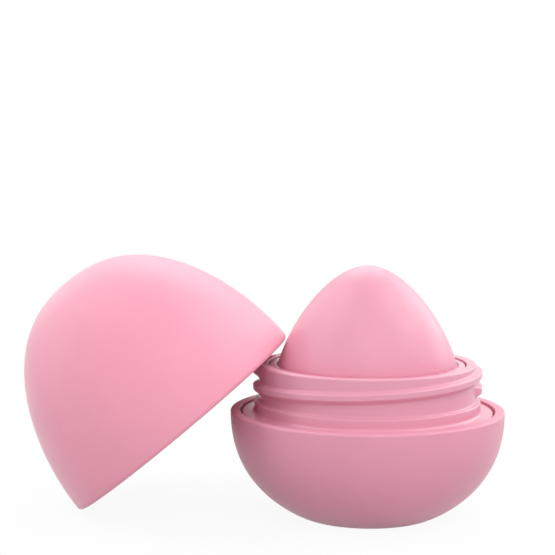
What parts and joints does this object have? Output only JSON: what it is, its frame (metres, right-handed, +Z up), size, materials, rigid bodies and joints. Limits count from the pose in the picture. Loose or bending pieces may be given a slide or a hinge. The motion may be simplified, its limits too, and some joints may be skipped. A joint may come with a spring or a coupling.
{
  "type": "egg-shaped lip balm container",
  "caption": "Egg-shaped lip balm: flat-footed base with a threaded neck holding a rounded dome of balm, and its domed screw cap taken off and leaning beside it.",
  "frame": {"origin": "centre of the base's flat foot, on the surface it stands on", "axes": "+Z up along the base's axis; +X from the removed cap, on the left, towards the base; +Y away from the viewer"},
  "size_m": [0.0706, 0.0435, 0.0376],
  "materials": {
    "base_shell_plastic": "satin pink plastic",
    "collar_plastic": "glossy pink plastic",
    "tray_plastic": "glossy pale pink plastic",
    "balm": "smooth satin wax",
    "cap_shell_plastic": "soft-touch matte pink plastic",
    "liner_plastic": "glossy pink plastic"
  },
  "bodies": {
    "base": {"base_shell": "base_shell_plastic", "neck_collar": "collar_plastic", "balm_tray": "tray_plastic", "lip_balm": "balm"},
    "cap": {"cap_shell": "cap_shell_plastic", "cap_liner": "liner_plastic"}
  },
  "joints": [
    {"name": "cap_lift", "type": "slide", "parent": "base", "child": "cap", "axis": [0, 0, 1], "range_m": [0, 0.06]}
  ]
}
